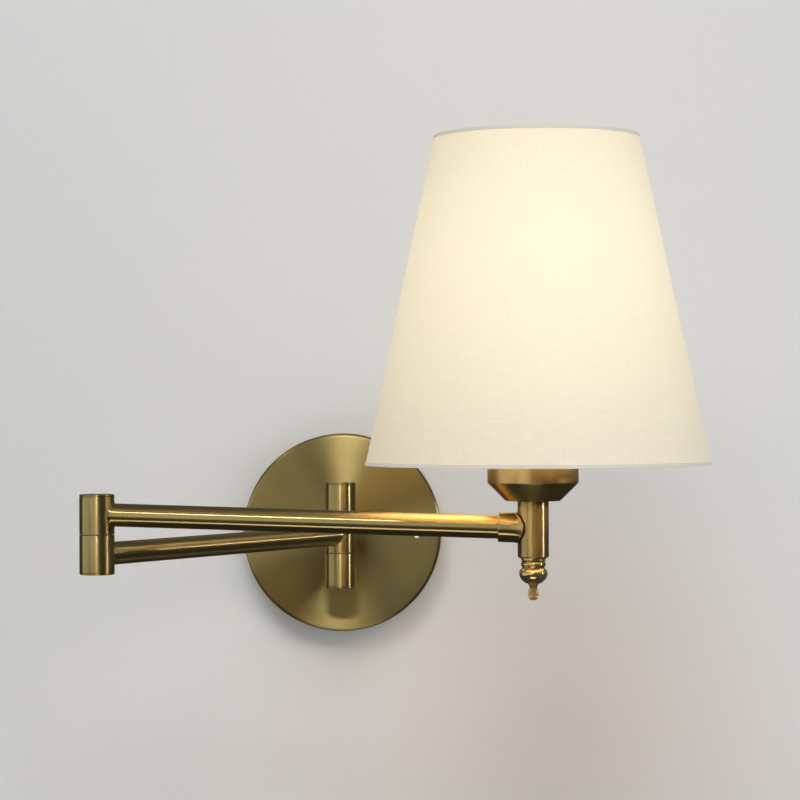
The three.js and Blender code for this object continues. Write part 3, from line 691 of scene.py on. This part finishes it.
def head_stem():
    """The upright stem, bored from above for the nipple and from below for the finial's stud."""
    low, high = box_mm("head_stem")
    chamfer, seat = STEM["chamfer"], high.z - STEM["nipple_depth"]
    outline = [(STEM["stud_hole"], low.z), (stem_radius - chamfer, low.z), (stem_radius, low.z + chamfer)]
    outline += [(stem_radius, high.z), (NIPPLE_HOLE, high.z), (NIPPLE_HOLE, seat), (STEM["wire_hole"], seat)]
    outline.append((STEM["stud_hole"], low.z + STEM["stud_depth"]))
    add_turned("head_stem", "turned", outline, head_axis, "turned", ease=0.3)


def finial():
    """A beaded ring, a ball that is fuller below, and a small knurled drop on a short neck."""
    low, high = box_mm("finial")
    top, tip = box_mm("head_stem")[0].z - JOINT_GAP, low.z
    ball_z, drop_top = top - FINIAL["ball_depth"], tip + DROP["height"]

    def belly(start, end, half, steps):
        """Points up the ball between two angles in degrees; half is its half height there."""
        found = []
        for step in range(steps + 1):
            angle = math.radians(start + (end - start) * step / steps)
            found.append((FINIAL["ball"] * math.cos(angle), ball_z + half * math.sin(angle)))
        return found

    outline = [(0, tip), *drop_outline(tip, drop_top)]
    outline += [*belly(-70, 0, FINIAL["ball_below"], 14), *belly(4, 40, FINIAL["ball_above"], 8)]
    outline += [(radius, top - depth) for radius, depth in UNDER_BEAD]
    steps = 6
    for step in range(steps + 1):
        angle = math.radians(-90 + 180 * step / steps)
        radius = BEAD["radius"] + BEAD["swell"] * math.cos(angle)
        outline.append((radius, top - BEAD["depth"] + BEAD["half"] * math.sin(angle)))
    outline += [(radius, top - depth) for radius, depth in OVER_BEAD]
    outline += [(FINIAL["stud"], top), (FINIAL["stud"], high.z), (0, high.z)]

    def knurled(radius, height, angle):
        if height > drop_top or radius < DROP["plain_tip"]:
            return radius, height
        lead = DROP["twist"] * (height - tip)
        crossing = math.cos(DROP["starts"] * angle + lead) * math.cos(DROP["starts"] * angle - lead)
        return radius - DROP["knurl"] * (0.5 + 0.5 * crossing), height

    add_turned("finial", "turned", outline, head_axis, "polished", ease=0, warp=knurled, segments=160)


def drop_outline(tip, top):
    """A blunt tip that swells low down and narrows into the neck. The swell runs over half a sine wave,
    which starts part of the way up and is squeezed towards the tip."""
    neck = FINIAL["neck"]
    steps, head_start, squeeze, bluntness, neck_share = 30, 0.06, 0.62, 0.25, 0.82
    points = []
    for step in range(1, steps + 1):
        share = step / steps
        swell = math.sin(math.pi * (head_start + (1 - head_start) * share ** squeeze))
        radius = neck * share ** bluntness + (DROP["radius"] - neck * neck_share) * swell
        points.append((radius, tip + (top - tip) * share))
    return points


def socket_cup():
    """A spun cup round the lampholder, with a sloping foot."""
    low, high = box_mm("socket_cup")
    radius, foot, wall = (high.x - low.x) / 2, CUP["foot"], CUP["wall"]
    shoulder = low.z + CUP["slope"]
    outline = [(NIPPLE_HOLE, low.z), (foot - 0.5, low.z), (foot, low.z + 0.4), (radius, shoulder)]
    outline += [(radius, high.z), (radius - wall, high.z), (radius - wall, shoulder + 0.5)]
    outline += [(foot - 0.6, low.z + wall), (NIPPLE_HOLE, low.z + wall)]
    add_turned("socket_cup", "spun", outline, head_axis, "cup", ease=0.35, segments=160)


def threaded(thread, low, high):
    """Outline points up a threaded wall between two heights."""
    radius, pitch = thread["radius"], thread["pitch"]
    root = radius - thread["depth"]
    points = []
    for turn in range(int((high - low) / pitch)):
        z = low + turn * pitch
        points += [(root, z), (radius, z + pitch * 0.35), (radius, z + pitch * 0.6)]
    return [*points, (root, high)]


def lampholder():
    """The base in the cup, the threaded skirt above it and the ribbed nut that clamps the shade."""
    low, high = box_mm("lampholder_base")
    body, mouth = BASE["body"], BASE["mouth"]
    outline = [(NIPPLE_HOLE, low.z), (BASE["foot"], low.z), (body, low.z + BASE["slope"]), (body, high.z)]
    outline += [(mouth, high.z), (mouth, high.z - BASE["mouth_depth"])]
    outline.append((NIPPLE_HOLE, high.z - BASE["hole_depth"]))
    add_turned("lampholder_base", "moulded", outline, head_axis, "black", ease=0.6)
    low, high = box_mm("lampholder_skirt")
    bore, wide, flange = SKIRT["bore"], SKIRT["flange"], low.z + SKIRT["flange_height"]
    start, end = flange + SKIRT_THREAD["above_flange"], high.z - SKIRT_THREAD["below_top"]
    outline = [(bore, low.z), (wide, low.z), (wide, flange), (SKIRT["wall"], flange)]
    outline += [*threaded(SKIRT_THREAD, start, end), (SKIRT["lip"], high.z), (bore, high.z)]
    add_turned("lampholder_skirt", "moulded", outline, head_axis, "white", ease=0.3)
    low, high = box_mm("shade_ring_nut")
    bore, radius, top = RING_NUT["bore"], RING_NUT["radius"], RING_NUT["top"]
    outline = [(bore, low.z), (radius, low.z), (radius, low.z + RING_NUT["band"]), (top, high.z)]
    outline.append((bore, high.z))

    def ribbed(distance, height, angle):
        if distance <= top + 0.5:
            return distance, height
        return distance - RING_NUT["rib"] * (0.5 + 0.5 * math.cos(RING_NUT["ribs"] * angle)), height

    add_turned("shade_ring_nut", "moulded", outline, head_axis, "white", ease=0.3, warp=ribbed, segments=240)


def bulb():
    """The bulb's screw cap, its housing and its frosted globe."""
    low, high = box_mm("bulb_cap")
    radius = BULB_THREAD["radius"]
    outline = [(0, low.z), (BULB_CAP["contact"], low.z)]
    outline.append((BULB_CAP["insulator"], low.z + BULB_CAP["insulator_height"]))
    outline.append((BULB_CAP["shoulder"], low.z + BULB_CAP["shoulder_height"]))
    outline += threaded(BULB_THREAD, low.z + BULB_THREAD["above_foot"], high.z - BULB_THREAD["below_top"])
    outline += [(radius, high.z - 2.5), (radius, high.z), (0, high.z)]
    add_turned("bulb_cap", "threaded", outline, head_axis, "nickel", ease=0.4)
    low, high = box_mm("bulb_housing")
    outline = [(radius, low.z + height) for radius, height in HOUSING]
    outline += [(GLOBE["waist"], high.z), (0, high.z)]
    add_turned("bulb_housing", "moulded", outline, head_axis, "white", ease=3.0)
    low, high = box_mm("bulb_globe")
    radius, wall, waist, steps = (high.x - low.x) / 2, GLOBE["wall"], GLOBE["waist"], GLOBE["steps"]
    centre = high.z - radius
    outer, inner = [], []
    start = math.atan2(low.z - centre, waist) * GLOBE["waist_turn"]
    for step in range(steps + 1):
        angle = start + (math.pi / 2 - start) * step / steps
        across, up = (math.cos(angle), math.sin(angle)) if step < steps else (0, 1)
        outer.append((radius * across, centre + radius * up))
        inner.append(((radius - wall) * across, centre + (radius - wall) * up))
    outline = [*inner[::-1], (waist - wall, low.z), (waist, low.z), *outer]
    add_turned("bulb_globe", "blown", outline, head_axis, "globe", ease=0)


# -------------------- shade

fabric_low, fabric_high = box_mm("shade_fabric")
rim_low, rim_high = box_mm("shade_rim_bottom")[0].z, box_mm("shade_rim_top")[1].z


def fabric_radius(z):
    """Outside radius of the fabric at a height, from the frame's own cone."""
    low_radius = (fabric_high.x - fabric_low.x) / 2
    top = [v.co for v in frame["nodes"]["shade_fabric"].data.vertices if v.co.z / MM > fabric_high.z - 0.1]
    high_radius = (max(p.x for p in top) - min(p.x for p in top)) / 2 / MM
    share = (z - fabric_low.z) / (fabric_high.z - fabric_low.z)
    return low_radius + (high_radius - low_radius) * share


def smooth_step(value, low, high):
    """0 up to low, 1 from high on, eased between them."""
    share = min(max((value - low) / (high - low), 0), 1)
    return share * share * (3 - 2 * share)


def shade():
    """The cloth cone with its glued seam, held out by two hoops and bound at both edges."""
    thickness, levels = FABRIC["thickness"], FABRIC["levels"]
    slope = (fabric_radius(fabric_low.z) - fabric_radius(fabric_high.z)) / (fabric_high.z - fabric_low.z)
    base = fabric_radius(fabric_low.z)
    heights = [fabric_low.z + (fabric_high.z - fabric_low.z) * step / levels for step in range(levels + 1)]
    outline = [(base - slope * (z - fabric_low.z), z) for z in heights]
    outline += [(radius - thickness, z) for radius, z in outline[::-1]]
    near, far = FABRIC["seam"] - FABRIC["blend"], FABRIC["seam"] + FABRIC["blend"]

    def glued_seam(radius, height, angle):
        """The cloth overlaps itself by 10 mm at the back, and ripples a hair where it is glued."""
        distance = ((angle - math.pi / 2 + math.pi) % (2 * math.pi) - math.pi) * base
        raised = FABRIC["lap"] * (smooth_step(distance, -far, -near) - smooth_step(distance, near, far))
        ripple = 0.06 * math.sin(5 * angle + height / 31) + 0.04 * math.sin(11 * angle - height / 17)
        return radius + raised + ripple, height

    piece = add_turned("shade_fabric", "sewn", outline, shade_axis, "linen", ease=0, warp=glued_seam,
                       segments=240)
    rims = [rim_tape("bottom", rim_low, 1, base, slope), rim_tape("top", rim_high, -1, base, slope)]
    hoops = [hoop("bottom"), hoop("top")]


def rim_tape(side, edge, sense, base, slope):
    """A tape folded over the cloth's edge, with its ends lapped."""
    clear, thick, leg, bridge = (TAPE[key] for key in ("clear", "thick", "leg", "bridge"))

    def at(offset, height):
        z = edge + sense * height
        return base - slope * (z - fabric_low.z) + offset, z

    outside, inside = clear + thick, -FABRIC["thickness"] - clear
    outline = [at(outside, 0), at(inside - thick, 0), at(inside - thick, leg), at(inside, leg)]
    outline += [at(inside, bridge), at(clear, bridge), at(clear, leg), at(outside, leg)]
    join, length, blend = math.radians(-92), TAPE["lap_length"], TAPE["blend"]

    def lapped(radius, height, angle):
        distance = ((angle - join + math.pi) % (2 * math.pi) - math.pi) * radius
        raised = smooth_step(distance, -blend, 0) - smooth_step(distance, length, length + blend)
        raised *= TAPE["lap"]
        return radius + (raised if radius > at(0, abs(height - edge))[0] else 0), height

    return add_turned("shade_rim_" + side, "folded", outline, shade_axis, "tape", ease=0.25, warp=lapped,
                      segments=360)


def hoop(side):
    """A round wire hoop inside the bound edge."""
    node = "shade_hoop_" + side
    low, high = box_mm(node)
    reach = (high.x - low.x) / 2 - WIRE
    z = (low.z + high.z) / 2
    sides = 14
    turns = [2 * math.pi * step / sides for step in range(sides)]
    outline = [(reach + WIRE * math.cos(angle), z + WIRE * math.sin(angle)) for angle in turns]
    return add_turned(node, "round", outline, shade_axis, "wire", ease=0, segments=180)


def shade_carrier():
    """The ring that sits on the lampholder, and its three bent arms out to the bottom hoop."""
    low, high = box_mm("shade_carrier_ring")
    outer, inner, clear = (high.x - low.x) / 2, CARRIER["bore"], CARRIER["clear"]
    outline = [(outer, low.z), (outer, high.z), (inner, high.z), (inner, low.z)]
    add_turned("shade_carrier_ring", "pressed", outline, shade_axis, "wire", ease=0.35)
    z = (low.z + high.z) / 2
    hoop_low, hoop_high = box_mm("shade_hoop_bottom")
    hoop_z = (hoop_low.z + hoop_high.z) / 2
    end = (hoop_high.x - hoop_low.x) / 2 - 2 * WIRE - clear
    for number in (1, 2, 3):
        node = "shade_carrier_arm_%d" % number
        out = middle(node) - shade_axis
        heading = Vector((out.x, out.y, 0)).normalized()
        centre = Vector((shade_axis.x, shade_axis.y, 0))
        corners = [centre + heading * reach + Vector((0, 0, height))
                   for reach, height in ((outer + clear, z), (outer + CARRIER["flat"], z), (end, hoop_z))]
        fit(bent_wire(node + "_bent", corners, WIRE, CARRIER["bend"], look["wire"]), node)


# -------------------- pieces kept as they are in the frame

def finish_inner_nodes():
    """Inner pieces keep their CAD shape and get their own finish."""
    finishes = {
        "zinc": "mounting_strap stub_nut_upper stub_nut_lower post_pivot_tube post_pivot_bolt post_nut_upper "
                "post_nut_middle_upper post_nut_middle_lower elbow_pivot_tube elbow_nut_lower "
                "elbow_nut_upper stem_nipple",
        "earth": "earth_screw middle_barrel_plug",
        "nylon": "post_washer_upper post_washer_lower elbow_washer",
        "jacket": "supply_lead lower_arm_lead upper_arm_lead",
        "white": "terminal_block",
    }
    kinds = {node: kind for kind, nodes in finishes.items() for node in nodes.split()}
    for node, kind in kinds.items():
        mesh = frame["nodes"][node].data
        mesh.materials.clear()
        mesh.materials.append(look[kind])
        mesh.shade_smooth()
        mesh.set_sharp_from_angle(angle=math.radians(35))


# -------------------- room, light and camera

def wall_material():
    """Pale painted wall, seen only from the room side."""
    s = Surface("painted_wall")
    roller = s.noise(s.placed(), 260.0, 4.0)
    s.set(Base_Color=s.mix(roller, (0.735, 0.735, 0.73), (0.755, 0.755, 0.75)), Roughness=0.9)
    s.bump(roller, 0.1, 0.1 * MM)
    sides = s.add("NewGeometry")
    clear = s.add("BsdfTransparent")
    ends = {0: sides.outputs["Backfacing"], 1: s.shader.outputs[0], 2: clear.outputs[0]}
    chosen = s.add("MixShader", ends)
    s.tree.links.new(chosen.outputs[0], s.output.inputs["Surface"])
    return s.material


def floor_material():
    s = Surface("pale_floor")
    s.set(Base_Color=s.mix(s.noise(s.placed(), 12.0), (0.84, 0.83, 0.80), (0.88, 0.87, 0.84)), Roughness=0.7)
    return s.material


def room():
    """A wall with the round opening of its wiring box behind the backplate, and a floor. Metres."""
    opening, reach, far, gap, drop, sides = 0.05, 0.5, 2.4, 0.0004, 1.1, 64
    rings = []
    for radius in (opening, reach, far):
        angles = [2 * math.pi * step / sides for step in range(sides)]
        rings.append([Vector((radius * math.cos(angle), gap, radius * math.sin(angle))) for angle in angles])
    wall = piece_from("room_wall", rings, wall_material(), False)
    if wall.data.polygons[0].normal.y > 0:
        wall.data.flip_normals()
    edge = [Vector((x, y, -drop)) for x, y in ((-far, 0), (far, 0), (far, -2 * far), (-far, -2 * far))]
    floor = piece_from("room_floor", [edge, [sum(edge, Vector()) / 4]], floor_material(), False)
    if floor.data.polygons[0].normal.z < 0:
        floor.data.flip_normals()
    wall.visible_glossy = floor.visible_glossy = False


AIM = (0, -0.12, 0.05)
DAYLIGHT = (0.99, 0.995, 1.0)
PANELS = (
    ("key", 48.0, (1.75, 1.2), -3, 40, 3.0, DAYLIGHT, False),
    ("fill", 5.0, (2.0, 1.6), 6, 4, 2.8, DAYLIGHT, False),
    ("window", 6.4, (1.2, 1.2), 58, 8, 2.2, (0.78, 0.89, 1.0), False),
    ("top_softbox", 7.8, (0.3, 0.08), 0, 27.5, 1.9, DAYLIGHT, True),
    ("right_strip", 12.0, (0.12, 0.25), 74, 8, 2.5, DAYLIGHT, True),
    ("left_panel", 7.0, (1.9, 1.4), -68, 0, 1.9, DAYLIGHT, True),
    ("front_panel", 6.5, (1.3, 1.2), -22, 4, 2.4, DAYLIGHT, True),
    ("rim_light", 2.0, (0.25, 0.25), -48, 42, 2.0, DAYLIGHT, True),
    ("low_panel", 2.6, (0.8, 0.3), 0, -44, 1.5, (1.0, 0.92, 0.82), True),
)


def new_light(name, kind, power, colour):
    """A light in the scene, not placed yet."""
    data = bpy.data.lights.new(name, kind)
    data.energy, data.color = power, colour
    light = bpy.data.objects.new(name, data)
    bpy.context.scene.collection.objects.link(light)
    return light


def panel(name, power, size, azimuth, elevation, distance, colour, in_metal):
    """A rectangular light aimed at the lamp, seen only in reflections where in_metal is set and otherwise
    only as diffuse light. Size and distance are in metres; azimuth 0 is straight out, positive right."""
    light = new_light(name, "AREA", power, colour)
    light.data.shape = "RECTANGLE"
    light.data.size, light.data.size_y = size
    a, e = math.radians(azimuth), math.radians(elevation)
    place = Vector((math.sin(a) * math.cos(e), -math.cos(a) * math.cos(e), math.sin(e))) * distance
    light.location = place
    light.rotation_euler = (Vector(AIM) - place).to_track_quat("-Z", "Y").to_euler()
    light.visible_camera = False
    light.visible_diffuse, light.visible_glossy = not in_metal, in_metal


def bulb_light(name, power, colour):
    """A round light at the middle of the bulb's globe, which goes with the upper arm."""
    light = new_light(name, "POINT", power, colour)
    light.data.shadow_soft_size = 0.05
    light.location = middle("bulb_globe") * MM
    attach(light, "upper_arm")
    return light


def open_bottom_light(power, colour):
    """A disc across the shade's open bottom, for the light its pale inside sends down to the wall."""
    light = new_light("open_bottom_light", "AREA", power, colour)
    light.data.shape, light.data.size = "DISK", 2 * (fabric_radius(fabric_low.z) - 6) * MM
    light.location = Vector((shade_axis.x, shade_axis.y, rim_low + 4)) * MM
    light.visible_camera = light.visible_glossy = False
    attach(light, "upper_arm")


def lights():
    for settings in PANELS:
        panel(*settings)
    bulb_light("bulb_light", 1.0, (1.0, 0.64, 0.38))
    open_bottom_light(0.28, (1.0, 0.60, 0.34))
    through = bpy.data.collections.new("cloth_lets_bulb_through")
    through.objects.link(bpy.data.objects["shade_fabric_sewn"])
    through.collection_objects[0].light_linking.link_state = "EXCLUDE"
    bulb_light("bulb_through_cloth", 0.45, (1.0, 0.70, 0.45)).light_linking.blocker_collection = through


def world():
    """Pale surroundings: bright to the eye, softer on the object, and dim in its reflections."""
    to_eye, on_surfaces, gloss_below, gloss_above = 0.72, 0.195, 0.04, 0.13
    made = bpy.data.worlds.new("studio")
    bpy.context.scene.world = made
    made.use_nodes = True
    tree = made.node_tree
    add, join = tree.nodes.new, tree.links.new
    background, path = tree.nodes["Background"], add("ShaderNodeLightPath")
    direction, parts = add("ShaderNodeTexCoord"), add("ShaderNodeSeparateXYZ")
    join(direction.outputs["Generated"], parts.inputs[0])
    height = add("ShaderNodeMapRange")
    for socket, value in zip(height.inputs[1:5], (-0.35, 0.45, gloss_below, gloss_above)):
        socket.default_value = value
    join(parts.outputs[2], height.inputs[0])
    for_gloss, for_eye = add("ShaderNodeMix"), add("ShaderNodeMix")
    for_gloss.inputs[2].default_value = on_surfaces
    join(height.outputs[0], for_gloss.inputs[3])
    join(path.outputs["Is Glossy Ray"], for_gloss.inputs[0])
    for_eye.inputs[3].default_value = to_eye
    join(path.outputs["Is Camera Ray"], for_eye.inputs[0])
    join(for_gloss.outputs[0], for_eye.inputs[2])
    join(for_eye.outputs[0], background.inputs["Strength"])
    background.inputs["Color"].default_value = (0.97, 0.985, 1.0, 1.0)


def camera():
    """The photograph's viewpoint, almost straight on and level with the arms."""
    place, angles = (0.0558, -1.5316, 0.0750), (0.775, 0.203, -0.2)
    data = bpy.data.cameras.new("camera")
    data.sensor_width, data.lens = 36.0, 112.05
    data.clip_start, data.clip_end = 0.05, 20.0
    made = bpy.data.objects.new("camera", data)
    yaw, pitch, roll = (math.radians(angle) for angle in angles)
    turn = Matrix.Rotation(yaw, 4, "Z") @ Matrix.Rotation(math.pi / 2 + pitch, 4, "X")
    made.matrix_world = Matrix.Translation(place) @ turn @ Matrix.Rotation(roll, 4, "Z")
    bpy.context.scene.collection.objects.link(made)
    bpy.context.scene.camera = made
    bpy.context.scene.view_settings.view_transform = "Standard"


# -------------------- assembly

camera()
backplate()
for side in ("left", "right"):
    cover_screw(side)
for side in ("upper", "lower"):
    hinge_stub(side)
for node, up in (("post_barrel_upper", True), ("middle_barrel", True), ("post_barrel_lower", False),
                 ("elbow_barrel_upper", True), ("elbow_barrel_lower", False)):
    barrel(node, up)
for node, up in (("post_cap_upper", True), ("post_cap_lower", False),
                 ("elbow_cap_upper", True), ("elbow_cap_lower", False)):
    end_cap(node, up)
arm_tube("lower_arm_tube", post_axis, elbow_axis, barrel_radius, TUBE["flare"])
arm_collar(*arm_tube("upper_arm_tube", elbow_axis, head_axis, stem_radius, 0))
head_stem()
finial()
socket_cup()
lampholder()
bulb()
shade()
shade_carrier()
finish_inner_nodes()
room()
lights()
world()
